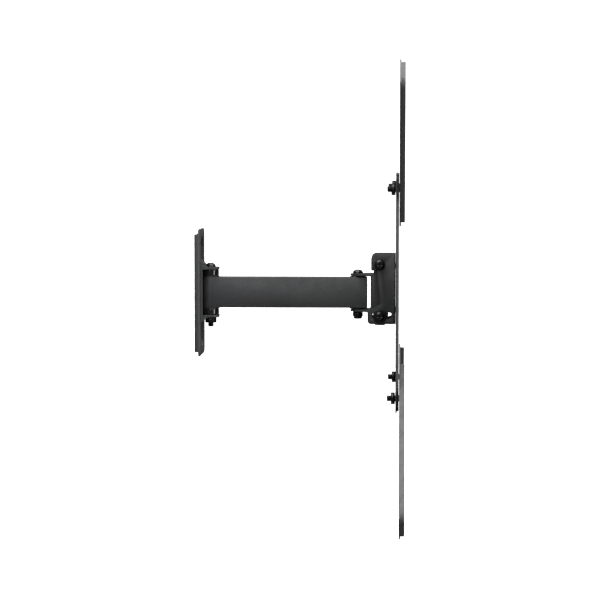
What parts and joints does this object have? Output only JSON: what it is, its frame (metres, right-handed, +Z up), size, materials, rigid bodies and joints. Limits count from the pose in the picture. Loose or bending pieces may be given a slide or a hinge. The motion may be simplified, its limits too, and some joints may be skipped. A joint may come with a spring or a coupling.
{
  "type": "full motion tv wall mount",
  "caption": "Full motion screen wall mount: wall plate, single swing arm, swivelling and tilting head, square screen plate and diagonal extension arms.",
  "frame": {"origin": "centre of the wall plate's back, on the wall", "axes": "+X from the wall to the screen, +Z up, +Y to the far side"},
  "size_m": [0.2085, 0.438, 0.438],
  "materials": {
    "powder_coat": "fine matte black powder coat",
    "gloss_black": "gloss black",
    "nylon": "matte black nylon",
    "black_zinc": "black zinc, semi-gloss"
  },
  "bodies": {
    "wall": {"wall_plate": "powder_coat", "pivot_bracket": "powder_coat", "swing_bolt": "black_zinc", "swing_nut": "black_zinc", "swing_spacer_upper": "gloss_black", "swing_spacer_lower": "gloss_black", "swing_washer_upper": "nylon", "swing_washer_lower": "nylon"},
    "arm": {"swing_arm": "powder_coat", "swing_sleeve": "powder_coat", "head_sleeve": "powder_coat"},
    "head": {"yoke": "powder_coat", "head_bolt": "black_zinc", "head_nut": "black_zinc", "head_washer_upper": "gloss_black", "head_washer_lower": "gloss_black", "tilt_screw": "black_zinc", "tilt_nut": "black_zinc", "tilt_washer_near": "black_zinc", "tilt_washer_far": "black_zinc", "lock_screw": "black_zinc", "lock_nut": "black_zinc", "lock_washer_near": "black_zinc", "lock_washer_far": "black_zinc"},
    "screen": {"tilt_bracket": "powder_coat", "screen_plate": "powder_coat", "plate_rivet_1": "black_zinc", "plate_rivet_2": "black_zinc", "plate_rivet_3": "black_zinc", "plate_rivet_4": "black_zinc", "extension_upper_far": "powder_coat", "extension_upper_near": "powder_coat", "extension_lower_near": "powder_coat", "extension_lower_far": "powder_coat", "extension_screw_upper_far": "black_zinc", "extension_screw_upper_near": "black_zinc", "extension_screw_lower_near": "black_zinc", "extension_screw_lower_far": "black_zinc", "extension_nut_upper_far": "black_zinc", "extension_nut_upper_near": "black_zinc", "extension_nut_lower_near": "black_zinc", "extension_nut_lower_far": "black_zinc"}
  },
  "joints": [
    {"name": "arm_swing", "type": "hinge", "parent": "wall", "child": "arm", "pos_m": [0.01395, 0, 0], "axis": [0, 0, 1], "range_deg": [-80, 80]},
    {"name": "head_swivel", "type": "hinge", "parent": "arm", "child": "head", "pos_m": [0.16175, 0, 0], "axis": [0, 0, 1], "range_deg": [-90, 90]},
    {"name": "tilt", "type": "hinge", "parent": "head", "child": "screen", "pos_m": [0.18375, 0, 0.0286], "axis": [0, 1, 0], "range_deg": [-5, 5]}
  ]
}
